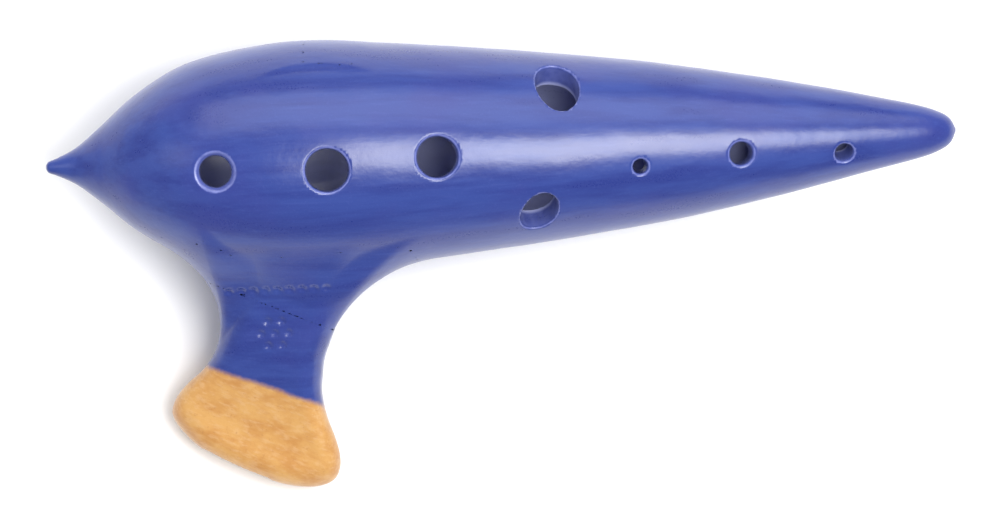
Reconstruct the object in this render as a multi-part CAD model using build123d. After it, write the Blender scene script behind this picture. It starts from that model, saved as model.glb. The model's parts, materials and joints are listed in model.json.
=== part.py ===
from build123d import *
import math
import os

# A ten-hole transverse ocarina in C, of fired clay: a pointed vessel with a
# flared mouthpiece luted to its side. It lies on its back, finger holes up.
# X runs from the nose to the tail, -Y goes out along the mouthpiece.
# All sizes are in millimetres.

# ---- vessel ----
LENGTH = 165.0
WALL = 5.0
OUTLINE = [                      # (distance from the nose tip, radius)
    (2.0, 1.55),
    (5.5, 3.25),
    (10.0, 6.75),
    (16.0, 11.9),
    (25.5, 17.4),
    (36.0, 20.0),
    (47.0, 20.8),
    (66.0, 19.65),
    (95.0, 16.6),
    (117.0, 13.45),
    (138.0, 9.35),
    (151.0, 6.45),
    (161.0, 3.9),
]
NOSE_ROUND = (0.5, 0.95)         # a point on each rounded end
TAIL_ROUND = (163.8, 2.3)
PARAMETER_FINENESS = 1e-7        # share of the outline within which a point on it is found
CHAMBER_FROM = 13.5              # outline stations that the chamber follows
CHAMBER_TO = 149.0
CHAMBER_STATIONS = 14
CHAMBER_NOSE_LENGTH = 0.55       # its rounded front end, as a share of its radius there
CHAMBER_NOSE_SWELL = (0.42, 0.6) # a point on that end, as shares of the same radius
CHAMBER_TAIL_SWELL = 0.7         # the same for the half-round rear end

# ---- seam between the two half shells ----
COIL_ARC = 8.0                   # degrees of the girth that the coil fills
COIL_DEPTH = 2.5
COIL_FROM = 9.0
COIL_TO = 157.0

# ---- mouthpiece, measured along and across its own axis ----
LEAN = 23.4                      # degrees off square, towards the nose
NECK_X = 39.9                    # where the narrow part of the neck crosses its axis
NECK_Y = -32.9
MOUTHPIECE = [                   # (along, left edge, right edge, back, front)
    (-31.0, -23.0, 23.0, -12.0, 10.0),
    (-24.6, -26.5, 23.9, -16.4, 12.6),
    (-18.6, -27.0, 16.1, -18.6, 10.8),
    (-13.0, -27.0, 11.9, -19.5, 7.4),
    (-9.5, -25.0, 10.3, -19.8, 5.0),
    (-7.0, -19.8, 9.9, -19.9, 3.6),
    (-2.7, -13.0, 9.7, -20.2, 1.6),
    (2.5, -10.4, 10.4, -20.3, -0.6),
    (7.5, -9.2, 12.6, -20.3, -3.6),
    (12.5, -11.4, 16.8, -20.3, -7.0),
    (17.0, -12.7, 19.4, -20.1, -9.2),
    (20.5, -11.0, 18.8, -19.6, -10.3),
    (22.8, -6.7, 15.4, -18.4, -11.6),
    (23.7, -1.0, 11.6, -17.2, -13.0),
]
ROUNDING = 2.8                   # superellipse power of the mouthpiece's sections
SECTION_POINTS = 20
DIP_LINE = 8.1                   # the coat of blue ends here, along the neck
COLLAR_EDGE = -5.5               # the coil round the neck's root begins here
COLLAR_STEP = 1.6                # its thickness at that edge
NECK_ROOT_ROW = 6                # the section that the neck keeps under the coil
CORE_END = -31.0
WINDWAY_OVERRUN = 2.0            # its cutter runs on at both ends
WINDWAY_CORNER = 0.35            # its corner radius, as a share of its height

# ---- windway, window and labium ----
WINDWAY_Z = -15.5
WINDWAY_ENTRY = (2.0, 13.5, 4.0)  # (middle across the neck, width, height) at the lips
WINDWAY_EXIT = (0.0, 11.0, 1.6)   # the same at the window
WINDOW_WIDTH = 12.0
WINDOW_FROM = -22.0
WINDOW_TO = -27.6
WINDOW_TOP = -6.0
LABIUM_END = -34.0
LABIUM_RAMP = 28.0               # degrees
LABIUM_TOP = WINDWAY_Z + 0.4      # its flat inner face, so the sounding edge is 0.4 thick
RAMP_RUN_OUT = 12.0              # the ramp's cutter runs on into the open air
FAR = 60.0                       # beyond the mouthpiece in every direction
REACH = 400.0                    # beyond the whole instrument

# ---- tone holes ----
# (distance from the nose, offset in Y, bore, rim, and how far the drill follows the slope
# of the surface lengthwise and round the girth: 1 is square to it, 0 ignores it)
FINGER_HOLES = {
    "left_little_finger": (31.1, -2.2, 5.8, 8.4, 0.0, 0.4),
    "left_ring_finger": (51.2, -2.8, 7.8, 9.1, 1.0, 0.4),
    "left_middle_finger": (71.1, -1.2, 7.4, 8.8, 1.0, 0.4),
    "right_middle_finger": (107.5, -4.4, 2.7, 4.0, 1.0, 0.4),
    "right_ring_finger": (125.8, -2.8, 4.2, 5.7, 1.0, 0.4),
    "right_little_finger": (144.4, -3.5, 3.4, 4.7, 1.0, 1.0),
}
# the two on the shoulders are oval: (distance from the nose, offset in Y, length, width, turn)
INDEX_HOLES = {
    "left_index_finger": (93.1, 10.9, 7.7, 10.5, 15.0),
    "right_index_finger": (89.0, -12.0, 6.5, 8.8, -26.0),
}
OVAL_RIM = 0.8                   # how much the rim of an oval hole grows
THUMB_HOLES = {
    "left_thumb": (81.0, 0.5, 9.0, 10.4, 1.0, 1.0),
    "right_thumb": (100.0, 1.0, 8.6, 10.0, 1.0, 1.0),
}
RIM_ANGLE = 45.0
BORE_DEPTH = WALL + 1.6
BORE_CLEAR = 6.0                 # how far a cutter stands out of the wall

# ---- rosette of dimples pressed into the front of the neck ----
DIMPLE_RADIUS = 1.1
DIMPLE_DEPTH = 0.35
ROSETTE = (40.3, -31.7, 6, 2.5)  # x, y, dimples in its ring, the ring's radius


# ---- outline of the vessel ----
def vessel_curve():
    return Spline(*OUTLINE)


def revolved(curves, start, end):
    half = make_face(Curve() + curves + [Line((end, 0), (start, 0))])
    return revolve(half, Axis.X)


def vessel_solid():
    nose = ThreePointArc((0, 0), NOSE_ROUND, OUTLINE[0])
    tail = ThreePointArc(OUTLINE[-1], TAIL_ROUND, (LENGTH, 0))
    return revolved([nose, vessel_curve(), tail], 0, LENGTH)


def parameter_at(curve, x):
    """The curve's own parameter at a distance from the nose, found by halving."""
    low, high = 0.0, 1.0
    while high - low > PARAMETER_FINENESS:
        middle = (low + high) / 2
        if (curve @ middle).X < x:
            low = middle
        else:
            high = middle
    return low


def inset_point(curve, x, depth):
    place = parameter_at(curve, x)
    along = curve % place
    point = curve @ place
    return (point.X + along.Y * depth, point.Y - along.X * depth)


def inset_curve(curve, start, end, depth):
    step = (end - start) / (CHAMBER_STATIONS - 1)
    stations = [start + step * i for i in range(CHAMBER_STATIONS)]
    return Spline(*[inset_point(curve, x, depth) for x in stations])


def chamber_solid():
    wall = inset_curve(vessel_curve(), CHAMBER_FROM, CHAMBER_TO, WALL)
    first, last = wall @ 0, wall @ 1
    start = first.X - first.Y * CHAMBER_NOSE_LENGTH
    end = last.X + last.Y
    back, out = CHAMBER_NOSE_SWELL
    nose_swell = (first.X - first.Y * back, first.Y * out)
    tail_swell = (last.X + last.Y * CHAMBER_TAIL_SWELL, last.Y * CHAMBER_TAIL_SWELL)
    nose = ThreePointArc((start, 0), nose_swell, (first.X, first.Y))
    tail = ThreePointArc((last.X, last.Y), tail_swell, (end, 0))
    return revolved([nose, wall, tail], start, end)


def seam_coil(side):
    curve = vessel_curve()
    start, end = parameter_at(curve, COIL_FROM), parameter_at(curve, COIL_TO)
    outer = curve.trim(start, end)
    inner = inset_curve(curve, COIL_FROM, COIL_TO, COIL_DEPTH)
    ends = [Line(outer @ 0, inner @ 0), Line(outer @ 1, inner @ 1)]
    band = make_face(Curve() + [outer, inner] + ends)
    start_angle = -COIL_ARC / 2 if side > 0 else 180 - COIL_ARC / 2
    return revolve(Rot(X=start_angle) * band, Axis.X, revolution_arc=COIL_ARC)


# ---- the mouthpiece's own axes ----
OUTWARD = Vector(-math.sin(math.radians(LEAN)), -math.cos(math.radians(LEAN)), 0)
ACROSS = Vector(math.cos(math.radians(LEAN)), -math.sin(math.radians(LEAN)), 0)
NECK_ORIGIN = Vector(NECK_X, NECK_Y, 0)
# a box drawn with X across the neck, Y back towards the vessel and Z up lands here
NECK_PLACE = Location(Plane(origin=NECK_ORIGIN, x_dir=ACROSS, z_dir=(0, 0, 1)))


def neck_point(along, across, z):
    return NECK_ORIGIN + OUTWARD * along + ACROSS * across + Vector(0, 0, z)


def rounded_section(along, left, right, back, front):
    middle, half_width = (left + right) / 2, (right - left) / 2
    height, half_height = (back + front) / 2, (front - back) / 2
    points = []
    for i in range(SECTION_POINTS):
        turn = 2 * math.pi * (i + 0.5) / SECTION_POINTS
        c, s = math.cos(turn), math.sin(turn)
        across = middle + half_width * math.copysign(abs(c) ** (2 / ROUNDING), c)
        z = height + half_height * math.copysign(abs(s) ** (2 / ROUNDING), s)
        points.append(neck_point(along, across, z))
    return make_face(Spline(*points, periodic=True))


def mouthpiece_solid():
    return loft([rounded_section(*row) for row in MOUTHPIECE])


def neck_core_solid():
    left, right, back, front = MOUTHPIECE[NECK_ROOT_ROW][1:]
    edges = (left + COLLAR_STEP, right - COLLAR_STEP, back + COLLAR_STEP, front - COLLAR_STEP)
    return loft([rounded_section(CORE_END, *edges), rounded_section(COLLAR_EDGE, *edges)])


def neck_box(start, end, left, right, low, high):
    box = Box(right - left, end - start, high - low, align=(Align.MIN, Align.MAX, Align.MIN))
    return NECK_PLACE * Pos(left, -start, low) * box


def windway_solid():
    tip = MOUTHPIECE[-1][0]
    ends = ((tip + WINDWAY_OVERRUN, WINDWAY_ENTRY), (WINDOW_FROM - WINDWAY_OVERRUN, WINDWAY_EXIT))
    sections = []
    for along, (across, width, height) in ends:
        plane = Plane(origin=neck_point(along, across, WINDWAY_Z), x_dir=ACROSS, z_dir=OUTWARD)
        sections.append(plane * RectangleRounded(width, height, height * WINDWAY_CORNER))
    return loft(sections)


def ramp_height(along):
    return WINDWAY_Z - (WINDOW_TO - along) * math.tan(math.radians(LABIUM_RAMP))


def neck_wedge(outline):
    half = WINDOW_WIDTH / 2
    plane = Plane(origin=neck_point(0, -half, 0), x_dir=OUTWARD, z_dir=-ACROSS)
    face = plane * make_face(Polyline(*outline, close=True))
    return extrude(face, amount=-2 * half)


# ---- tone holes ----
def hole_plane(curve, x, y, side, follow=1.0, lean=1.0):
    """A plane on the surface at (x, y), with Z out along the drill."""
    along = curve % parameter_at(curve, x)
    radius = (curve @ parameter_at(curve, x)).Y
    up = math.sqrt(radius ** 2 - y ** 2)
    tilt = math.atan2(y, up) * lean
    outward = Vector(0, math.sin(tilt), side * math.cos(tilt))
    slope = along.Y / along.X * follow
    lengthwise = Vector(1, 0, 0) + outward * slope
    return Plane(origin=(x, y, side * up), x_dir=lengthwise, z_dir=outward - Vector(slope, 0, 0))


def round_hole(plane, bore, rim):
    depth = (rim - bore) / 2 / math.tan(math.radians(RIM_ANGLE))
    flare = BORE_CLEAR * math.tan(math.radians(RIM_ANGLE))
    base = (Align.CENTER, Align.CENTER, Align.MIN)
    drill = Cylinder(bore / 2, BORE_DEPTH + BORE_CLEAR, align=base)
    sink = Cone(bore / 2, rim / 2 + flare, depth + BORE_CLEAR, align=base)
    return plane * (Pos(0, 0, -BORE_DEPTH) * drill + Pos(0, 0, -depth) * sink)


def oval_hole(plane, length, width, turn):
    turned = plane * Rot(Z=turn)
    drill = extrude(turned * Ellipse(length / 2, width / 2), amount=BORE_CLEAR)
    drill += extrude(turned * Ellipse(length / 2, width / 2), amount=-BORE_DEPTH)
    growth = OVAL_RIM / 2 + BORE_CLEAR
    mouth = loft([
        turned * Pos(0, 0, -OVAL_RIM / 2) * Ellipse(length / 2, width / 2),
        turned * Pos(0, 0, BORE_CLEAR) * Ellipse(length / 2 + growth, width / 2 + growth),
    ])
    return drill + mouth


# ---- ornament ----
def dimple(surface, x, y):
    hits = surface.find_intersection_points(Axis((x, y, 0), (0, 0, 1)))
    point, normal = max(hits, key=lambda hit: hit[0].Z)
    outward = normal if normal.Z > 0 else -normal
    return Pos(point + outward * (DIMPLE_RADIUS - DIMPLE_DEPTH)) * Sphere(DIMPLE_RADIUS)


def dimple_rosette(surface):
    x, y, count, radius = ROSETTE
    turns = [2 * math.pi * i / count for i in range(count)]
    ring = [dimple(surface, x + radius * math.cos(t), y + radius * math.sin(t)) for t in turns]
    return ring + [dimple(surface, x, y)]


def half_space(side):
    return Pos(0, 0, side * REACH / 2) * Box(REACH, REACH, REACH)


# ---- the pieces ----
def shells(vessel, chamber, coils, windway):
    curve = vessel_curve()
    wall = vessel - chamber
    front = (wall & half_space(1)) - coils
    for x, y, bore, rim, follow, lean in FINGER_HOLES.values():
        front -= round_hole(hole_plane(curve, x, y, 1, follow, lean), bore, rim)
    for x, y, length, width, turn in INDEX_HOLES.values():
        front -= oval_hole(hole_plane(curve, x, y, 1), length, width, turn)

    back = (wall & half_space(-1)) - coils
    for x, y, bore, rim, follow, lean in THUMB_HOLES.values():
        back -= round_hole(hole_plane(curve, x, y, -1, follow, lean), bore, rim)
    back = back - window_opening() - labium_notch() - windway
    return front, back


def window_opening():
    half = WINDOW_WIDTH / 2
    return neck_box(WINDOW_TO, WINDOW_FROM, -half, half, -FAR, WINDOW_TOP)


def labium_notch():
    """Room for the labium, the ramp outside it and the flat air space inside it."""
    half = WINDOW_WIDTH / 2
    end = LABIUM_END - RAMP_RUN_OUT
    inside = neck_box(LABIUM_END, WINDOW_TO, -half, half, LABIUM_TOP, WINDOW_TOP)
    outside = neck_wedge([(WINDOW_TO, WINDWAY_Z), (WINDOW_TO, -FAR), (end, -FAR), (end, ramp_height(end))])
    return inside + outside + labium_wedge()


def labium_wedge():
    return neck_wedge([
        (WINDOW_TO, WINDWAY_Z),
        (WINDOW_TO, LABIUM_TOP),
        (LABIUM_END, LABIUM_TOP),
        (LABIUM_END, ramp_height(LABIUM_END)),
    ])


def beak_pieces(vessel, windway):
    mouthpiece = mouthpiece_solid()
    beak = mouthpiece - vessel - windway - window_opening()
    root = neck_box(-FAR, COLLAR_EDGE, -FAR, FAR, -FAR, FAR)
    lips = neck_box(DIP_LINE, FAR, -FAR, FAR, -FAR, FAR)
    core = neck_core_solid()
    below = Pos(0, 0, WINDWAY_Z) * half_space(-1)
    above = Pos(0, 0, WINDWAY_Z) * half_space(1)
    collar = (beak & root) - core
    neck = beak - (root - core) - lips
    mouth_end = beak & lips
    return {
        "neck_collar": collar,
        "neck_front": (neck & above) - dimple_rosette(mouthpiece),
        "neck_back": neck & below,
        "mouth_end_front": mouth_end & above,
        "mouth_end_back": mouth_end & below,
    }


def ocarina():
    vessel = vessel_solid()
    windway = windway_solid()
    coils = [seam_coil(1), seam_coil(-1)]
    front, back = shells(vessel, chamber_solid(), coils, windway)
    pieces = {
        "front_shell": front,
        "back_shell": back,
        "seam_coil_far_side": coils[0],
        "seam_coil_beak_side": coils[1],
        "labium": labium_wedge(),
    }
    pieces.update(beak_pieces(vessel, windway))
    return pieces


def to_base(pieces):
    """The move that puts the origin under the middle of the whole, on the plane that it lies on."""
    box = Compound(list(pieces.values())).bounding_box()
    return Pos(-(box.min.X + box.max.X) / 2, -(box.min.Y + box.max.Y) / 2, -box.min.Z)


def main():
    pieces = ocarina()
    move = to_base(pieces)
    os.makedirs("parts", exist_ok=True)
    for name, piece in pieces.items():
        export_step(move * piece, f"parts/{name}.step")
        print(name, piece.is_valid, len(piece.solids()), round(piece.volume))
    print("moved by", move.position)


main()
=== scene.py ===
import json
import math
from collections import namedtuple

import bpy
import numpy as np
from mathutils import Matrix, Vector

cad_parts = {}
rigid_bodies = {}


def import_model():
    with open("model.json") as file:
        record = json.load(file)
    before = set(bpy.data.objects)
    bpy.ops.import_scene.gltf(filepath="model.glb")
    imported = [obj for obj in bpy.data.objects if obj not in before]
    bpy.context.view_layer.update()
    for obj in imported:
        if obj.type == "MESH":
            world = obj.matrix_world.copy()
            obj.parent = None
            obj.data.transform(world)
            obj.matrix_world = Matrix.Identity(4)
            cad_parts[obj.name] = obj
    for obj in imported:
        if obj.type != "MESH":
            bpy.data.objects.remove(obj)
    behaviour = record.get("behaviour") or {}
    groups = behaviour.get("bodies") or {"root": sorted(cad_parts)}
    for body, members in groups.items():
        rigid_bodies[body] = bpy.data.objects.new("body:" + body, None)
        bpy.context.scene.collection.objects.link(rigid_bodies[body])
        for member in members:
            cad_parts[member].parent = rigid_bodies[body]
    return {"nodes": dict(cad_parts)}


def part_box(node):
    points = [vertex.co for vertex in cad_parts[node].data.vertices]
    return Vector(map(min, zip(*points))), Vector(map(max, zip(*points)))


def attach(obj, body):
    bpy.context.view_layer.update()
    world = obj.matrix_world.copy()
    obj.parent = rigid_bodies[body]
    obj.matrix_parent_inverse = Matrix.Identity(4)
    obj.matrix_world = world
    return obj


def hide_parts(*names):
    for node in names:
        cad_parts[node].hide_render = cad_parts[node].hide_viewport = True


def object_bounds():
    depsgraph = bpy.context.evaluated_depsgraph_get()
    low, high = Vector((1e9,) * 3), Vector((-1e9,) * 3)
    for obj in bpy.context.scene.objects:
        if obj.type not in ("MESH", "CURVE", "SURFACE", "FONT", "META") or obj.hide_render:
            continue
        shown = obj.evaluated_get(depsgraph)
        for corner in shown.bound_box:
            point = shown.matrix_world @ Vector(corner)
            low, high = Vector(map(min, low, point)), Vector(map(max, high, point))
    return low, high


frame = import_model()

CAD_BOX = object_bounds()
MM = 0.001

# The ocarina is worked out in millimetres in its own axes: X along the vessel from
# the tip of the nose, -Y out along the mouthpiece, +Z to the finger holes. Its
# origin in the frame comes from the two half shells, which meet on the vessel's axis.
SHELL_LOW, SHELL_HIGH = (Vector(corner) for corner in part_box("front_shell"))
ORIGIN = np.array([SHELL_LOW.x, (SHELL_LOW.y + SHELL_HIGH.y) / 2, SHELL_LOW.z]) / MM

# ---- vessel: (distance from the nose tip, radius) ----
OUTLINE = [
    (0.0, 0.0), (0.5, 0.95), (2.0, 1.55), (5.5, 3.25), (10.0, 6.75), (16.0, 11.9), (25.5, 17.4),
    (36.0, 20.0), (47.0, 20.8), (66.0, 19.65), (95.0, 16.6), (117.0, 13.45), (138.0, 9.35),
    (151.0, 6.45), (161.0, 3.9), (163.8, 2.3), (165.0, 0.0),
]
WALL = 5.0

# ---- mouthpiece: along and across its own axis ----
LEAN = math.radians(23.4)
NECK_X, NECK_Y = 39.9, -32.9
OUTWARD = np.array([-math.sin(LEAN), -math.cos(LEAN), 0.0])
ACROSS = np.array([math.cos(LEAN), -math.sin(LEAN), 0.0])
NECK_INNER_END = -40.0
NECK_LEFT, NECK_RIGHT = -9.2, 9.6
NECK_ORIGIN = np.array([NECK_X, NECK_Y, 0.0])
BEAK_OUTLINE = [
    (0.0, 9.75), (2.5, 10.4), (5.0, 11.15), (7.5, 12.5), (10.0, 14.4), (12.5, 16.75), (15.0, 18.65),
    (17.0, 19.5), (19.0, 19.6), (20.5, 18.85), (22.0, 17.0), (23.1, 14.4), (23.8, 11.0), (24.0, 7.0),
    (23.9, 2.0), (23.5, -2.75), (22.7, -6.65), (20.5, -11.05), (19.0, -12.5), (17.0, -12.85),
    (15.0, -12.55), (12.5, -11.6), (10.0, -10.25), (7.5, -9.45),
]
FRONT_PROFILE = [
    (-40.0, 7.5), (-14.0, 6.4), (-7.0, 3.3), (0.0, 0.4), (7.0, -3.2), (12.0, -6.4), (17.0, -9.0),
    (21.0, -10.2), (26.0, -10.6),
]
BACK_PROFILE = [(-40.0, -20.3), (10.0, -20.3), (20.0, -20.1), (26.0, -19.6)]
EDGE_RADIUS = [(-40.0, 5.5), (0.0, 5.0), (10.0, 4.2), (26.0, 3.9)]
DIP_LINE = 8.1
COLLAR_EDGE = -5.5

# ---- the hollow blend between the vessel and the mouthpiece ----
SIDE_BLEND = (15.8, 12.0)       # its radius at the neck's left and right edges
SIDE_BLEND_TURN = 6.0           # this far either side of the neck's axis it goes from one to the other
FACE_BLEND = (1.5, 6.0)         # its radius at the neck's back and front faces
FACE_BLEND_TURN = (-14.0, -2.0)
EDGE_TURN = 4.0                 # how far either side of the neck's edges faces give way to sides
BACK_TURN = (-18.0, -9.0)       # between these heights the blend grows to its full radius
BACK_SHARE = 0.35               # the share of that radius that it has at the back
NECK_SLOPE_REACH = 0.5

CORE = (-11.4, 8.1, -18.6, 0.0)
CORE_END = -31.0
CORE_SQUARENESS = 0.8

# ---- seam ----
COIL_ARC = math.radians(8.0)
COIL_DEPTH = 2.5
COIL_FROM, COIL_TO = 9.0, 157.0

# ---- windway, window and labium ----
WINDWAY_Z = -15.5
WINDWAY_ENTRY = (2.0, 13.5, 4.0)
WINDWAY_EXIT = (0.0, 11.0, 1.6)
TIP = 24.0
WINDWAY_CORNER = 0.35           # its corner radius, as a share of its height
WINDWAY_OVERRUN = 1.0
WINDOW_FROM, WINDOW_TO = -22.0, -27.6
WINDOW_HALF = 6.0
WINDOW_TOP = -6.0
LABIUM_END = -34.0
LABIUM_TOP = WINDWAY_Z + 0.4
LABIUM_RAMP = math.radians(28.0)

# ---- tone holes ----
# where each crosses the surface, its size along and round the vessel, how much its rim widens,
# its side, how far its axis follows the surface's slope and its roundness, and the turn of its oval
Hole = namedtuple("Hole", "x y length width growth side follow lean turn")
HOLES = [
    Hole(31.1, -2.2, 5.8, 5.8, 2.6, 1, 0.0, 0.4, 0.0),
    Hole(51.2, -2.8, 7.8, 7.8, 1.3, 1, 1.0, 0.4, 0.0),
    Hole(71.1, -1.2, 7.4, 7.4, 1.4, 1, 1.0, 0.4, 0.0),
    Hole(93.1, 10.9, 7.7, 10.5, 0.8, 1, 1.0, 1.0, 15.0),
    Hole(89.0, -12.0, 6.5, 8.8, 0.7, 1, 1.0, 1.0, -26.0),
    Hole(107.5, -4.4, 2.7, 2.7, 1.3, 1, 1.0, 0.4, 0.0),
    Hole(125.8, -2.8, 4.2, 4.2, 1.5, 1, 1.0, 0.4, 0.0),
    Hole(144.4, -3.5, 3.4, 3.4, 1.3, 1, 1.0, 1.0, 0.0),
    Hole(81.0, 0.5, 9.0, 9.0, 1.4, -1, 1.0, 1.0, 0.0),
    Hole(100.0, 1.0, 8.6, 8.6, 1.4, -1, 1.0, 1.0, 0.0),
]
BORE_DEPTH = WALL + 1.6
RADIUS_REACH = 0.5              # the vessel's slope at a hole is taken over this far each way

# ---- dimples ----
DIMPLE_RADIUS = 1.1
DIMPLE_DEPTH = 0.35
ROW = (41.2, -23.9, 9, 2.2)
ROSETTE = (40.3, -31.7, 6, 2.5)

# ---- how far edges are rounded, and how far round each feature the field is worked out ----
CHAMBER_EDGE = 0.4
WINDWAY_EDGE = 0.35
VOICING_EDGE = 0.12
DIMPLE_EDGE = 0.25
HOLE_NEAR = 14.0
DIMPLE_NEAR = 3.0
VOICING_HALF = 9.0
VOICING_NEAR = (-44.0, -18.0)
WAVER = 0.07

# ---- finish: colours as they look on a screen ----
BLUE_DEEP = (24, 43, 119)
BLUE_LIGHT = (36, 58, 132)
BLUE_VIOLET = (40, 49, 125)
BLUE_PALE = (62, 80, 152)
# painted light: the pale colour laid on the hole walls, standing in for light that falls into the holes
WALL_PAINTED_LIGHT = (96, 106, 172)
# painted highlight: the pale line along the rounded rim of each hole
RIM_PAINTED_HIGHLIGHT = (120, 128, 190)
# the chamber's inside: pale blue, partly the coat's own colour and partly painted light standing in for
# light reaching in through the holes
INSIDE_COAT_AND_PAINTED_LIGHT = (176, 182, 225)
CLAY_DEEP = (182, 128, 66)
CLAY_LIGHT = (198, 150, 86)
CLAY_PALE = (206, 166, 120)
# the dark clay: used for real specks and also for the painted shade in the windway
CLAY_DARK = (158, 104, 56)

# ---- studio, in metres: name, tilt from straight up, bearing from +X, distance, size, radiance ----
WORLD = 0.6
LIGHTS = [
    ("key_softbox", 16, -8, 0.9, (0.42, 0.44), 13.5),
    ("top_softbox", 48, 90, 1.0, (1.2, 0.7), 2.2),
    ("left_softbox", 50, 170, 1.0, (0.4, 0.4), 1.3),
]
LIGHT_TARGET = (0, 0, 0.02)
FLOOR_REACH = 3.0

# ---- camera, in millimetres: straight down ----
VIEW_DISTANCE = 2500.0
VIEW_WIDTH = 180.8
VIEW_CENTRE = (-0.98, -0.15)
VIEW_TURN = math.radians(-2.37)

STEP = 0.5
SHELL_SKIN = 0.3      # the shells own this much of the blend that rises from them to the neck
SETTLE_ROUNDS = 6
BOX_ROOM = 1.5
FAR = 400.0


# ---------------------------------------------------------------- curves
def smooth_curve(points, closed=False, per_span=24):
    """A cubic curve through the points, sampled finely (centripetal Catmull-Rom)."""
    p = np.array(points, float)
    if closed:
        p = np.vstack([p[-1], p, p[0], p[1]])
    else:
        p = np.vstack([2 * p[0] - p[1], p, 2 * p[-1] - p[-2]])
    out = []
    for i in range(1, len(p) - 2):
        k = np.zeros(4)
        for j in range(1, 4):
            k[j] = k[j - 1] + max(np.linalg.norm(p[i - 1 + j] - p[i - 2 + j]), 1e-6) ** 0.5
        t = np.linspace(k[1], k[2], per_span, endpoint=False)[:, None]
        a = [((k[j + 1] - t) * p[i - 1 + j] + (t - k[j]) * p[i + j]) / (k[j + 1] - k[j]) for j in range(3)]
        b = [((k[j + 2] - t) * a[j] + (t - k[j]) * a[j + 1]) / (k[j + 2] - k[j]) for j in range(2)]
        out.append(((k[2] - t) * b[0] + (t - k[1]) * b[1]) / (k[2] - k[1]))
    out = np.vstack(out)
    return out if closed else np.vstack([out, p[-2]])


def along_curve(points):
    """A smooth function of one value through the points."""
    curve = smooth_curve(points)
    return lambda x: np.interp(x, curve[:, 0], curve[:, 1])


class Flat:
    """Signed distance to a closed outline in a plane, negative inside, kept as a table."""

    def __init__(self, outline, low, high, step):
        self.low, self.step = np.array(low, float), step
        self.size = np.ceil((np.array(high) - self.low) / step).astype(int) + 1
        u = self.low[0] + step * np.arange(self.size[0])
        v = self.low[1] + step * np.arange(self.size[1])
        self.table = np.empty((len(u), len(v)))
        a, b = outline, np.roll(outline, -1, axis=0)
        d = b - a
        length = np.maximum((d ** 2).sum(1), 1e-12)
        for i, x in enumerate(u):
            rx = x - a[:, 0]
            ry = v[:, None] - a[:, 1]
            t = np.clip((rx * d[:, 0] + ry * d[:, 1]) / length, 0, 1)
            gap = np.sqrt(((rx - t * d[:, 0]) ** 2 + (ry - t * d[:, 1]) ** 2).min(1))
            spans = (a[:, 1] <= v[:, None]) != (b[:, 1] <= v[:, None])
            run = np.where(d[:, 1] == 0, 1e-12, d[:, 1])
            left = a[:, 0] + ry / run * d[:, 0] > x
            inside = (spans & left).sum(1) % 2 == 1
            self.table[i] = np.where(inside, -gap, gap)

    def __call__(self, u, v):
        s = np.clip((u - self.low[0]) / self.step, 0, self.size[0] - 1.001)
        t = np.clip((v - self.low[1]) / self.step, 0, self.size[1] - 1.001)
        i, j = s.astype(int), t.astype(int)
        s, t = s - i, t - j
        k = self.table
        near = k[i, j] * (1 - s) + k[i + 1, j] * s
        far = k[i, j + 1] * (1 - s) + k[i + 1, j + 1] * s
        return near * (1 - t) + far * t


# ---------------------------------------------------------------- fields
def round_max(a, b, r):
    """The overlap of two shapes with its edge rounded to radius r."""
    return np.minimum(-r, np.maximum(a, b)) + np.hypot(np.maximum(r + a, 0), np.maximum(r + b, 0))


def round_min(a, b, r):
    """Two shapes joined with a hollow blend of radius r."""
    return np.maximum(r, np.minimum(a, b)) - np.hypot(np.maximum(r - a, 0), np.maximum(r - b, 0))


def fade(x, low, high):
    """0 at low, 1 at high, and a soft step between; low may be the greater."""
    t = np.clip((x - low) / (high - low), 0, 1)
    return t * t * (3 - 2 * t)


vessel_curve = smooth_curve(OUTLINE)
vessel_loop = np.vstack([vessel_curve, vessel_curve[::-1] * [1, -1]])
vessel_flat = Flat(vessel_loop, (-6.0, 0.0), (171.0, 62.0), 0.2)
right_edge = [(s, NECK_RIGHT) for s in (NECK_INNER_END, -20.0, -4.0)]
left_edge = [(s, NECK_LEFT) for s in (5.0, 0.0, -20.0, NECK_INNER_END)]
beak_loop = smooth_curve(right_edge + BEAK_OUTLINE + left_edge, closed=True)
beak_flat = Flat(beak_loop, (-62.0, -62.0), (34.0, 66.0), 0.25)
front_height = along_curve(FRONT_PROFILE)
back_height = along_curve(BACK_PROFILE)
edge_radius = along_curve(EDGE_RADIUS)
upper = vessel_curve[np.argsort(vessel_curve[:, 0], kind="stable")]


def radius_at(x):
    return np.interp(x, upper[:, 0], upper[:, 1])


def neck_axes(p):
    q = p - NECK_ORIGIN
    return q @ OUTWARD, q @ ACROSS, p[:, 2]


def vessel(p):
    return vessel_flat(p[:, 0], np.hypot(p[:, 1], p[:, 2]))


def outer(p):
    """The closed outside of the instrument, before anything is hollowed or pierced."""
    s, c, z = neck_axes(p)
    body = vessel(p)
    side = beak_flat(s, c)
    front = front_height(s)
    slope = front_height(s + NECK_SLOPE_REACH) - front_height(s - NECK_SLOPE_REACH)
    face = np.maximum((z - front) / np.sqrt(1 + slope ** 2), back_height(s) - z)
    neck = round_max(side, face, edge_radius(s))
    sideways = fade(side - face, -EDGE_TURN, EDGE_TURN)
    left, right = SIDE_BLEND
    side_blend = left + (right - left) * fade(c, -SIDE_BLEND_TURN, SIDE_BLEND_TURN)
    back, top = FACE_BLEND
    face_blend = back + (top - back) * fade(z, *FACE_BLEND_TURN)
    share = BACK_SHARE + (1 - BACK_SHARE) * fade(z, *BACK_TURN)
    blend = face_blend + (side_blend - face_blend) * sideways * share
    return round_min(body, neck, blend)


def slab(value, low, high):
    return np.maximum(low - value, value - high)


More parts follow.
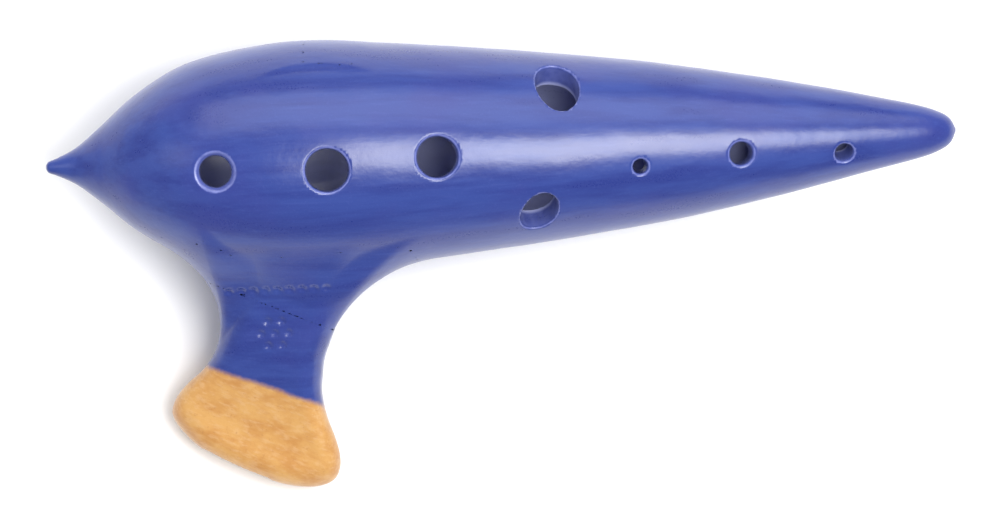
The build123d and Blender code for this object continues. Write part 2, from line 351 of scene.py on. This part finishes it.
def windway(s, c, z):
    t = (s - WINDOW_FROM) / (TIP - WINDOW_FROM)
    middle, width, height = (a + (b - a) * t for a, b in zip(WINDWAY_EXIT, WINDWAY_ENTRY))
    across, up = np.abs(c - middle) - width / 2, np.abs(z - WINDWAY_Z) - height / 2
    opening = round_max(across, up, height * WINDWAY_CORNER)
    return np.maximum(opening, WINDOW_FROM - WINDWAY_OVERRUN - s)


def voicing(s, c, z):
    """The window, the ramp outside the labium and the flat air space inside it."""
    sides = np.abs(c) - WINDOW_HALF
    window = np.maximum(np.maximum(sides, slab(s, WINDOW_TO, WINDOW_FROM)), z - WINDOW_TOP)
    over = WINDWAY_Z - (WINDOW_TO - s) * math.tan(LABIUM_RAMP)
    ramp = np.maximum(np.maximum(sides, (z - over) * math.cos(LABIUM_RAMP)), s - (WINDOW_TO + 0.1))
    inner = np.maximum(sides, slab(z, LABIUM_TOP, WINDOW_TOP))
    inner = np.maximum(inner, slab(s, LABIUM_END, WINDOW_TO + 0.1))
    return np.minimum(np.minimum(window, ramp), inner)


def hole_frame(hole):
    """Where the hole crosses the surface, and the directions along it, round it and out of it."""
    radius = radius_at(hole.x)
    slope = (radius_at(hole.x + RADIUS_REACH) - radius_at(hole.x - RADIUS_REACH)) * hole.follow
    up = math.sqrt(radius ** 2 - hole.y ** 2)
    tilt = math.atan2(hole.y, up) * hole.lean
    outward = np.array([0.0, math.sin(tilt), hole.side * math.cos(tilt)])
    size = math.hypot(1, slope)
    along = np.array([1.0, 0.0, 0.0]) / size + outward * slope / size
    normal = np.array([-slope, 0.0, 0.0]) / size + outward / size
    across = np.cross(normal, along)
    turn = math.radians(hole.turn)
    long_way = along * math.cos(turn) + across * math.sin(turn)
    short_way = across * math.cos(turn) - along * math.sin(turn)
    return np.array([hole.x, hole.y, hole.side * up]), long_way, short_way, normal


def bore_reach(p, hole):
    """How far a point is from the wall of the hole, and its height over the hole's mouth."""
    origin, along, across, normal = hole_frame(hole)
    q = p - origin
    mean = (hole.length + hole.width) / 4
    reach = np.hypot(q @ along * mean / (hole.length / 2), q @ across * mean / (hole.width / 2)) - mean
    return reach, q @ normal


def tone_hole(p, hole):
    reach, height = bore_reach(p, hole)
    return np.maximum(reach, -BORE_DEPTH - height)


def dimple_places():
    x, y, count, spacing = ROW
    places = [(x + (i - (count - 1) / 2) * spacing, y) for i in range(count)]
    x, y, count, radius = ROSETTE
    turns = [2 * math.pi * i / count for i in range(count)]
    places += [(x + radius * math.cos(t), y + radius * math.sin(t)) for t in turns]
    return places + [(x, y)]


def surface_height(x, y):
    """Z of the outside straight above (x, y), found by halving."""
    low, high = 0.0 if y > -20 else -18.0, 24.0
    for _ in range(30):
        middle = (low + high) / 2
        if outer(np.array([[x, y, middle]]))[0] < 0:
            low = middle
        else:
            high = middle
    return low


def dimple_centres():
    centres = []
    for x, y in dimple_places():
        point = np.array([[x, y, surface_height(x, y)]])
        normal = slope_of(outer, point, 0.4)[0]
        centres.append(point[0] + normal / np.linalg.norm(normal) * (DIMPLE_RADIUS - DIMPLE_DEPTH))
    return centres


def waver(p):
    """The slight unevenness that hands leave in clay, in millimetres."""
    x, y, z = p.T
    wave = np.sin(x * 0.11 + 1.3) * np.sin(y * 0.17 + z * 0.13 + 0.4)
    wave += 0.6 * np.sin(x * 0.23 - z * 0.19 + 2.1) * np.sin(y * 0.29 + 0.9)
    wave += 0.35 * np.sin(x * 0.41 + y * 0.37 + 0.7) * np.sin(z * 0.45 - x * 0.2)
    return WAVER * wave


def slope_of(field, p, reach):
    out = np.empty_like(p)
    for axis in range(3):
        shift = np.zeros(3)
        shift[axis] = reach
        out[:, axis] = (field(p + shift) - field(p - shift)) / (2 * reach)
    return out


DIMPLES = dimple_centres()


def ocarina(p):
    """The whole instrument: negative in the clay, positive in the air."""
    s, c, z = neck_axes(p)
    clay = outer(p) + waver(p)
    clay = round_max(clay, -(vessel(p) + WALL), CHAMBER_EDGE)
    for hole in HOLES:
        near = ((p - hole_frame(hole)[0]) ** 2).sum(1) < HOLE_NEAR ** 2
        if near.any():
            clay[near] = round_max(clay[near], -tone_hole(p[near], hole), hole.growth / 2)
    clay = round_max(clay, -windway(s, c, z), WINDWAY_EDGE)
    start, end = VOICING_NEAR
    near = (np.abs(c) < VOICING_HALF) & (s < end) & (s > start) & (z < 0)
    clay[near] = round_max(clay[near], -voicing(s[near], c[near], z[near]), VOICING_EDGE)
    for centre in DIMPLES:
        near = ((p - centre) ** 2).sum(1) < DIMPLE_NEAR ** 2
        if near.any():
            ball = np.sqrt(((p[near] - centre) ** 2).sum(1)) - DIMPLE_RADIUS
            clay[near] = round_max(clay[near], -ball, DIMPLE_EDGE)
    return clay


# ---------------------------------------------------------------- meshing
def sample(field, low, high, step):
    axes = [np.arange(low[i], high[i] + step, step) for i in range(3)]
    out = np.empty([len(a) for a in axes], np.float32)
    yy, zz = np.meshgrid(axes[1], axes[2], indexing="ij")
    for i, x in enumerate(axes[0]):
        plane = np.stack([np.full(yy.size, x), yy.ravel(), zz.ravel()], 1)
        out[i] = field(plane).reshape(yy.shape)
    return out


def surface_net(values, low, step):
    """A closed skin of quads where the values change sign."""
    inside = values < 0
    cells = np.array(values.shape) - 1
    quads, keys, places = [], [], []
    for axis in range(3):
        first = [slice(None)] * 3
        second = [slice(None)] * 3
        first[axis], second[axis] = slice(0, -1), slice(1, None)
        first, second = tuple(first), tuple(second)
        crossing = inside[first] != inside[second]
        index = np.argwhere(crossing)
        a, b = values[first][crossing], values[second][crossing]
        place = index.astype(float)
        place[:, axis] += a / (a - b)
        u, v = (axis + 1) % 3, (axis + 2) % 3
        ring = []
        for du, dv in ((0, 0), (-1, 0), (-1, -1), (0, -1)):
            cell = index.copy()
            cell[:, u] += du
            cell[:, v] += dv
            ring.append(np.ravel_multi_index(cell.T, cells))
            keys.append(ring[-1])
            places.append(place)
        ring = np.stack(ring, 1)
        outward = a < 0
        ring[~outward] = ring[~outward][:, ::-1]
        quads.append(ring)
    keys, places = np.concatenate(keys), np.concatenate(places)
    used, inverse = np.unique(keys, return_inverse=True)
    count = np.bincount(inverse)
    points = np.stack([np.bincount(inverse, places[:, i]) / count for i in range(3)], 1)
    faces = np.searchsorted(used, np.concatenate(quads))
    return np.array(low) + points * step, faces


def settle(points, faces, field, rounds):
    """Evens out the quads and lays every point on the surface."""
    edges = np.concatenate([faces[:, [i, (i + 1) % 4]] for i in range(4)])
    degree = np.bincount(edges[:, 0], minlength=len(points))
    for turn in range(rounds):
        gradient = slope_of(field, points, 0.08)
        size = np.maximum((gradient ** 2).sum(1), 0.2)
        points = points - gradient * (np.clip(field(points), -0.4, 0.4) / size)[:, None]
        if turn < rounds - 2:
            ends = points[edges[:, 1]]
            totals = [np.bincount(edges[:, 0], ends[:, i], len(points)) for i in range(3)]
            pull = np.stack(totals, 1) / degree[:, None] - points
            normal = gradient / np.sqrt((gradient ** 2).sum(1) + 1e-9)[:, None]
            pull -= normal * (pull * normal).sum(1)[:, None]
            points = points + 0.5 * pull
    return points


def untangle(values):
    """Flips the weakest corner wherever the signs on a cell's face lie like a chessboard."""
    corners = ((0, 0), (1, 0), (1, 1), (0, 1))
    flipped = 1
    while flipped:
        flipped = 0
        for axis in range(3):
            u, v = (axis + 1) % 3, (axis + 2) % 3
            inside = []
            for du, dv in corners:
                part = [slice(None)] * 3
                part[u] = slice(du, du - 1 or None)
                part[v] = slice(dv, dv - 1 or None)
                inside.append(values[tuple(part)] < 0)
            board = (inside[0] == inside[2]) & (inside[1] == inside[3]) & (inside[0] != inside[1])
            for place in np.argwhere(board):
                spots = []
                for du, dv in corners:
                    spot = place.copy()
                    spot[u] += du
                    spot[v] += dv
                    spots.append(tuple(spot))
                weakest = min(spots, key=lambda spot: abs(values[spot]))
                values[weakest] = -math.copysign(0.002, values[weakest])
                flipped += 1
    return values


# ---------------------------------------------------------------- meshes in the frame
def new_mesh(name, points, faces, material_index=0):
    mesh = bpy.data.meshes.new(name)
    place = (np.array(points, float) + ORIGIN) * MM
    mesh.from_pydata(place.tolist(), [], [list(face) for face in faces])
    mesh.materials.append(SKIN)
    mesh.materials.append(CUT)
    mesh.polygons.foreach_set("material_index", [material_index] * len(mesh.polygons))
    mesh.update()
    piece = bpy.data.objects.new(name, mesh)
    bpy.context.scene.collection.objects.link(piece)
    return piece


def ring_solid(name, rings):
    """A closed solid whose sections are the rings, each with the same number of points."""
    count = len(rings[0])
    points = [point for ring in rings for point in ring]
    faces = [range(count)[::-1], range(len(points) - count, len(points))]
    for i in range(len(rings) - 1):
        for j in range(count):
            a, b = i * count + j, i * count + (j + 1) % count
            faces.append([a, b, b + count, a + count])
    return new_mesh(name, points, faces, 1)


def vessel_cutter():
    angles = np.linspace(0, 2 * math.pi, 192, endpoint=False)
    rings = []
    for x, radius in vessel_curve[::6]:
        r = max(radius, 0.02) + SHELL_SKIN
        rings.append([(x, -r * math.sin(t), r * math.cos(t)) for t in angles])
    return ring_solid("vessel_cutter", rings)


def coil_cutter(side):
    """The strip of clay laid into the seam: a narrow sector of the vessel's wall."""
    angles = np.linspace(-COIL_ARC / 2, COIL_ARC / 2, 7)
    rings = []
    for x in np.linspace(COIL_FROM, COIL_TO, 90):
        outer_r, inner_r = radius_at(x) + 3 * SHELL_SKIN, radius_at(x) - COIL_DEPTH
        ring = [(x, side * outer_r * math.cos(t), side * outer_r * math.sin(t)) for t in angles]
        ring += [(x, side * inner_r * math.cos(t), side * inner_r * math.sin(t)) for t in angles[::-1]]
        rings.append(ring)
    return ring_solid("coil_cutter", rings)


def neck_point(s, c, z):
    return NECK_ORIGIN + OUTWARD * s + ACROSS * c + np.array([0.0, 0.0, z])


def neck_block(s_range, c_range, z_range):
    rings = []
    for z in z_range:
        turns = ((0, 0), (1, 0), (1, 1), (0, 1))
        rings.append([neck_point(s_range[i], c_range[j], z) for i, j in turns])
    return ring_solid("neck_block", rings)


def core_cutter():
    left, right, back, front = CORE
    turns = np.linspace(0, 2 * math.pi, 64, endpoint=False) + 0.01
    rings = []
    for s in (CORE_END, COLLAR_EDGE):
        ring = []
        for turn in turns:
            c, z = math.cos(turn), math.sin(turn)
            across = (left + right) / 2 + (right - left) / 2 * math.copysign(abs(c) ** CORE_SQUARENESS, c)
            height = (back + front) / 2 + (front - back) / 2 * math.copysign(abs(z) ** CORE_SQUARENESS, z)
            ring.append(neck_point(s, across, height))
        rings.append(ring)
    return ring_solid("core_cutter", rings)


def carve(piece, cutter, operation):
    modifier = piece.modifiers.new("carve", "BOOLEAN")
    modifier.operation = operation
    modifier.solver = "MANIFOLD"
    modifier.object = cutter
    graph = bpy.context.evaluated_depsgraph_get()
    mesh = bpy.data.meshes.new_from_object(piece.evaluated_get(graph))
    piece.modifiers.remove(modifier)
    result = bpy.data.objects.new("carved", mesh)
    bpy.context.scene.collection.objects.link(result)
    return result


def common(piece, cutter):
    return carve(piece, cutter, "INTERSECT")


def without(piece, *cutters):
    for cutter in cutters:
        piece = carve(piece, cutter, "DIFFERENCE")
    return piece


def split_up(whole):
    """The clay pieces that the instrument is put together from, each closed, face to face."""
    vessel_part = vessel_cutter()
    coils = [coil_cutter(1), coil_cutter(-1)]
    everywhere = (-FAR, FAR)
    above_seam = neck_block(everywhere, everywhere, (0, FAR))
    below_seam = neck_block(everywhere, everywhere, (-FAR, 0))
    window_width = (-WINDOW_HALF, WINDOW_HALF)
    labium_room = neck_block((LABIUM_END, WINDOW_FROM - 1), window_width, (-FAR, LABIUM_TOP + 2))
    core = core_cutter()
    root = neck_block((-FAR, COLLAR_EDGE), everywhere, everywhere)
    lips = neck_block((DIP_LINE, FAR), everywhere, everywhere)
    above_windway = neck_block(everywhere, everywhere, (WINDWAY_Z, FAR))
    below_windway = neck_block(everywhere, everywhere, (-FAR, WINDWAY_Z))

    body = common(whole, vessel_part)
    beak = without(whole, vessel_part)
    back = without(common(body, below_seam), *coils)
    collar = without(common(beak, root), core)
    neck = without(beak, collar, lips)
    mouth_end = common(beak, lips)
    return {
        "front_shell": without(common(body, above_seam), *coils),
        "back_shell": without(back, labium_room),
        "labium": common(back, labium_room),
        "seam_coil_far_side": common(body, coils[0]),
        "seam_coil_beak_side": common(body, coils[1]),
        "neck_collar": collar,
        "neck_front": common(neck, above_windway),
        "neck_back": common(neck, below_windway),
        "mouth_end_front": common(mouth_end, above_windway),
        "mouth_end_back": common(mouth_end, below_windway),
    }


def finish_skin(piece, name):
    """Smooth shading from the surface's true slope, and flat shading where pieces meet inside."""
    mesh = piece.data
    piece.name = mesh.name = name
    count = len(mesh.polygons)
    inner = np.empty(count, np.int32)
    mesh.polygons.foreach_get("material_index", inner)
    mesh.polygons.foreach_set("material_index", np.zeros(count, np.int32))
    mesh.polygons.foreach_set("use_smooth", np.ones(count, bool))
    flat = np.empty(count * 3, np.float32)
    mesh.polygons.foreach_get("normal", flat)
    flat = flat.reshape(-1, 3)
    sizes = np.empty(count, np.int32)
    mesh.polygons.foreach_get("loop_total", sizes)
    corner_face = np.repeat(np.arange(count), sizes)
    corner_point = np.empty(len(mesh.loops), np.int32)
    mesh.loops.foreach_get("vertex_index", corner_point)
    points = np.empty(len(mesh.vertices) * 3, np.float32)
    mesh.vertices.foreach_get("co", points)
    points = points.reshape(-1, 3).astype(float) / MM - ORIGIN
    slope = slope_of(ocarina, points, 0.06)
    slope /= np.linalg.norm(slope, axis=1)[:, None] + 1e-9
    normals = slope[corner_point]
    sharp = (inner[corner_face] == 1) & ((normals * flat[corner_face]).sum(1) < 0.8)
    normals[sharp] = flat[corner_face][sharp]
    mesh.normals_split_custom_set(normals.tolist())
    mesh.materials.clear()
    return piece


def mark_skin(piece):
    """Notes on each point its depth under the outside, in millimetres, and whether it is by a hole."""
    mesh = piece.data
    points = np.empty(len(mesh.vertices) * 3, np.float32)
    mesh.vertices.foreach_get("co", points)
    points = points.reshape(-1, 3).astype(float) / MM - ORIGIN
    depth = np.clip(-(outer(points) + waver(points)), 0, 8)
    mesh.attributes.new("depth", "FLOAT", "POINT").data.foreach_set("value", depth.astype(np.float32))
    reaches = []
    for hole in HOLES:
        other_side = points[:, 2] * hole.side < 0
        reaches.append(np.abs(bore_reach(points, hole)[0]) + 9 * other_side)
    by_hole = fade(np.min(reaches, 0), 2.0, 1.2)
    mesh.attributes.new("by_hole", "FLOAT", "POINT").data.foreach_set("value", by_hole.astype(np.float32))


# ---------------------------------------------------------------- materials
def shade(red, green, blue):
    """A colour given as it looks on a screen, 0 to 255, turned into the light it stands for."""
    light = []
    for value in (red, green, blue):
        value /= 255
        light.append(value / 12.92 if value < 0.04045 else ((value + 0.055) / 1.055) ** 2.4)
    return (*light, 1.0)


class Nodes:
    """A short way to write a material's nodes as expressions."""

    def __init__(self, name):
        self.material = bpy.data.materials.new(name)
        self.material.use_nodes = True
        self.tree = self.material.node_tree
        self.tree.nodes.clear()

    def add(self, kind, inputs=(), **settings):
        made = self.tree.nodes.new("ShaderNode" + kind)
        for name, value in settings.items():
            setattr(made, name, value)
        for place, value in dict(inputs).items():
            socket = made.inputs[place]
            if isinstance(value, bpy.types.NodeSocket):
                self.tree.links.new(value, socket)
            else:
                socket.default_value = value
        return made

    def math(self, operation, *values):
        return self.add("Math", dict(enumerate(values)), operation=operation).outputs[0]

    def plus(self, a, b):
        return self.math("ADD", a, b)

    def times(self, a, b):
        return self.math("MULTIPLY", a, b)

    def rise(self, value, low, high):
        """0 below low, 1 above high, and a soft step between."""
        inputs = {"Value": value, "From Min": low, "From Max": high}
        return self.add("MapRange", inputs, interpolation_type="SMOOTHSTEP", clamp=True).outputs[0]

    def mix(self, share, a, b):
        inputs = {"Factor": share, "A": a, "B": b}
        made = self.tree.nodes.new("ShaderNodeMix")
        made.data_type = "RGBA"
        for socket in made.inputs:
            if socket.name in inputs and socket.type in ("RGBA", "VALUE") and socket.enabled:
                value = inputs[socket.name]
                if isinstance(value, bpy.types.NodeSocket):
                    self.tree.links.new(value, socket)
                else:
                    socket.default_value = value
        return next(socket for socket in made.outputs if socket.enabled)

    def stretched(self, position, stretch):
        return self.add("VectorMath", {0: position, 1: stretch}, operation="MULTIPLY").outputs[0]

    def noise(self, position, stretch, detail=3.0, roughness=0.55, seed=0.0):
        inputs = {
            "Vector": self.stretched(position, stretch), "Scale": 1.0, "Detail": detail,
            "Roughness": roughness, "W": seed,
        }
        return self.add("TexNoise", inputs, noise_dimensions="4D").outputs[0]

    def position(self):
        """The point in millimetres in the instrument's own axes."""
        place = self.add("TexCoord").outputs["Object"]
        scaled = self.add("VectorMath", {0: place, "Scale": 1 / MM}, operation="SCALE").outputs[0]
        return self.add("VectorMath", {0: scaled, 1: tuple(ORIGIN)}, operation="SUBTRACT").outputs[0]

    def along_neck(self, position, direction):
        inputs = {0: position, 1: tuple(NECK_ORIGIN)}
        from_neck = self.add("VectorMath", inputs, operation="SUBTRACT").outputs[0]
        inputs = {0: from_neck, 1: tuple(direction)}
        return self.add("VectorMath", inputs, operation="DOT_PRODUCT").outputs["Value"]


def fired_clay(name):
    """Blue burnished coat over orange clay: the coat ends at the dip line; painted light and a painted
    highlight pale the hole walls and rims, the chamber inside is pale partly from painted light, and
    painted shade darkens the bare clay in the windway.
    """
    n = Nodes(name)
    place = n.position()
    depth = n.add("Attribute", attribute_name="depth").outputs["Fac"]
    by_hole = n.add("Attribute", attribute_name="by_hole").outputs["Fac"]
    s = n.along_neck(place, OUTWARD)
    c = n.along_neck(place, ACROSS)
    z = n.add("SeparateXYZ", {0: place}).outputs[2]
    beak_place = n.add("CombineXYZ", {0: c, 1: s, 2: z}).outputs[0]

    # where the coat is
    broad = n.times(n.noise(place, (0.2, 0.2, 0.2), seed=1.0), 0.9)
    narrow = n.times(n.noise(place, (1.3, 1.3, 1.3), seed=2.0), 0.5)
    wobble = n.plus(broad, narrow)
    edge = n.plus(n.plus(s, n.times(c, 0.04)), wobble)
    coat = n.rise(edge, DIP_LINE + 1.7, DIP_LINE + 0.3)

    # the blue coat: burnished lengthwise and mottled, with painted light on the hole walls and a painted
    # highlight on their rims
    streaks = n.noise(place, (0.022, 0.34, 0.34), detail=5.0, seed=4.0)
    fine_streaks = n.noise(place, (0.09, 1.5, 1.5), detail=3.0, seed=5.0)
    mottle = n.noise(place, (0.06, 0.09, 0.09), detail=4.0, seed=6.0)
    grain = n.noise(place, (2.4, 2.4, 2.4), detail=3.0, roughness=0.7, seed=7.0)
    blue = n.mix(n.rise(streaks, 0.36, 0.64), shade(*BLUE_DEEP), shade(*BLUE_LIGHT))
    blue = n.mix(n.times(n.rise(mottle, 0.45, 0.7), 0.55), blue, shade(*BLUE_VIOLET))
    blue = n.mix(n.times(n.rise(grain, 0.5, 0.75), 0.22), blue, shade(*BLUE_PALE))
    blue = n.mix(n.times(n.rise(fine_streaks, 0.52, 0.75), 0.18), blue, shade(*BLUE_PALE))
    uneven = n.rise(n.noise(place, (0.5, 0.5, 0.5), seed=8.0), 0.25, 0.65)
    # painted light: the hole walls are lightened, unevenly, where they turn down into the bore
    wall = n.times(n.rise(depth, 0.2, 0.7), n.plus(n.times(uneven, 0.4), 0.5))
    blue = n.mix(n.times(wall, by_hole), blue, shade(*WALL_PAINTED_LIGHT))
    # painted highlight: an uneven pale ring on the rounded rim of each hole
    rim = n.times(n.rise(depth, 0.03, 0.12), n.rise(depth, 0.5, 0.16))
    rim = n.times(n.times(rim, by_hole), n.plus(n.times(uneven, 0.5), 0.25))
    blue = n.mix(rim, blue, shade(*RIM_PAINTED_HIGHLIGHT))
    # the chamber deep inside turns pale blue, partly the coat's colour and partly painted light
    blue = n.mix(n.rise(depth, 3.6, 4.8), blue, shade(*INSIDE_COAT_AND_PAINTED_LIGHT))

    # the bare clay: mottled orange with short pale strokes and dark specks, and painted shade deeper in
    # the windway
    clay_mottle = n.noise(beak_place, (0.16, 0.24, 0.24), detail=5.0, roughness=0.6, seed=9.0)
    strokes = n.noise(beak_place, (0.5, 1.4, 1.4), detail=4.0, seed=10.0)
    specks = n.noise(beak_place, (1.6, 1.6, 1.6), detail=3.0, roughness=0.75, seed=11.0)
    clay = n.mix(n.rise(clay_mottle, 0.36, 0.64), shade(*CLAY_DEEP), shade(*CLAY_LIGHT))
    clay = n.mix(n.times(n.rise(strokes, 0.45, 0.68), 0.4), clay, shade(*CLAY_PALE))
    clay = n.mix(n.times(n.rise(specks, 0.56, 0.74), 0.5), clay, shade(*CLAY_DARK))
    # painted shade: the bare clay darkens with depth into the windway
    clay = n.mix(n.times(n.rise(depth, 0.3, 3.0), 0.6), clay, shade(*CLAY_DARK))

    colour = n.mix(coat, clay, blue)
    satin = n.plus(n.times(streaks, 0.14), n.times(grain, 0.1))
    roughness = n.plus(n.times(coat, -0.04), n.plus(satin, 0.22))
    height = n.plus(n.times(grain, 0.010), n.times(fine_streaks, 0.010))
    height = n.plus(height, n.times(n.noise(place, (0.5, 0.5, 0.5), detail=2.0, seed=12.0), 0.05))
    height = n.plus(height, n.times(n.times(strokes, n.math("SUBTRACT", 1.0, coat)), 0.03))
    height = n.plus(height, n.times(coat, 0.06))
    bump = n.add("Bump", {"Strength": 1.0, "Distance": MM, "Height": height}).outputs[0]
    surface = n.add("BsdfPrincipled", {
        "Base Color": colour, "Roughness": roughness, "Normal": bump, "IOR": 1.5,
        "Coat Weight": 0.12, "Coat Roughness": 0.16,
    })
    output = n.add("OutputMaterial")
    n.tree.links.new(surface.outputs[0], output.inputs["Surface"])
    return n.material


def plain_paper(name):
    n = Nodes(name)
    place = n.add("TexCoord").outputs["Object"]
    fibre = n.noise(place, (900.0, 900.0, 900.0), seed=20.0)
    colour = n.mix(n.times(fibre, 0.3), shade(250, 250, 250), shade(243, 243, 243))
    surface = n.add("BsdfPrincipled", {"Base Color": colour, "Roughness": 0.9, "Specular IOR Level": 0.1})
    output = n.add("OutputMaterial")
    n.tree.links.new(surface.outputs[0], output.inputs["Surface"])
    return n.material


# ---------------------------------------------------------------- studio
def aim(thing, place, target):
    """Points a light from its place to a target."""
    direction = (Vector(target) - Vector(place)).normalized()
    turn = direction.to_track_quat("-Z", "Y").to_matrix().to_4x4()
    thing.matrix_world = Matrix.Translation(place) @ turn


def softbox(name, place, size, radiance):
    light = bpy.data.lights.new(name, "AREA")
    light.shape = "RECTANGLE"
    light.size, light.size_y = size
    light.energy = radiance * size[0] * size[1] * math.pi
    box = bpy.data.objects.new(name, light)
    bpy.context.scene.collection.objects.link(box)
    aim(box, place, LIGHT_TARGET)


def studio(bounds):
    floor_mesh = bpy.data.meshes.new("floor")
    turns = ((-1, -1), (1, -1), (1, 1), (-1, 1))
    corners = [(x * FLOOR_REACH, y * FLOOR_REACH, 0) for x, y in turns]
    floor_mesh.from_pydata(corners, [], [(0, 1, 2, 3)])
    floor_mesh.materials.append(plain_paper("pale_paper"))
    floor = bpy.data.objects.new("floor", floor_mesh)
    floor.location.z = bounds[0][2]
    bpy.context.scene.collection.objects.link(floor)

    world = bpy.data.worlds.new("studio_air")
    world.use_nodes = True
    world.node_tree.nodes["Background"].inputs["Color"].default_value = (1.0, 1.0, 1.0, 1.0)
    world.node_tree.nodes["Background"].inputs["Strength"].default_value = WORLD
    bpy.context.scene.world = world
    for name, tilt, bearing, distance, size, radiance in LIGHTS:
        tilt, bearing = math.radians(tilt), math.radians(bearing)
        flat = distance * math.sin(tilt)
        place = (flat * math.cos(bearing), flat * math.sin(bearing), distance * math.cos(tilt))
        softbox(name, place, size, radiance)


def camera():
    data = bpy.data.cameras.new("camera")
    data.sensor_width = 36.0
    data.lens = data.sensor_width * VIEW_DISTANCE / VIEW_WIDTH
    data.clip_start, data.clip_end = 0.05, 30.0
    taker = bpy.data.objects.new("camera", data)
    bpy.context.scene.collection.objects.link(taker)
    x, y = VIEW_CENTRE
    widest = SHELL_LOW.z / MM
    taker.location = (x * MM, y * MM, (widest + VIEW_DISTANCE) * MM)
    taker.rotation_euler = (0, 0, VIEW_TURN)
    bpy.context.scene.camera = taker


# ---------------------------------------------------------------- build
def main():
    low, high = ORIGIN_BOX[0] - BOX_ROOM, ORIGIN_BOX[1] + BOX_ROOM
    values = untangle(sample(ocarina, low, high, STEP))
    points, faces = surface_net(values, low, STEP)
    points = settle(points, faces, ocarina, SETTLE_ROUNDS)
    whole = new_mesh("whole", points, faces)
    pieces = split_up(whole)
    kept = set(pieces.values())
    coats = {name: fired_clay(name) for name in ("blue_coat", "bare_clay")}
    for node, piece in pieces.items():
        finish_skin(piece, node + "_clay")
        mark_skin(piece)
        slot = "bare_clay" if node.startswith("mouth_end") else "blue_coat"
        piece.data.materials.append(coats[slot])
        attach(piece, "root")
        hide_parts(node)
    own = set(frame["nodes"].values()) | kept
    for thing in list(bpy.data.objects):
        if thing.type == "MESH" and thing not in own:
            bpy.data.objects.remove(thing)


SKIN, CUT = (bpy.data.materials.new(name) for name in ("skin", "cut"))
ORIGIN_BOX = [np.array(corner) / MM - ORIGIN for corner in CAD_BOX]
main()
studio(CAD_BOX)
camera()
bpy.context.scene.view_settings.view_transform = "Standard"

bpy.context.view_layer.update()
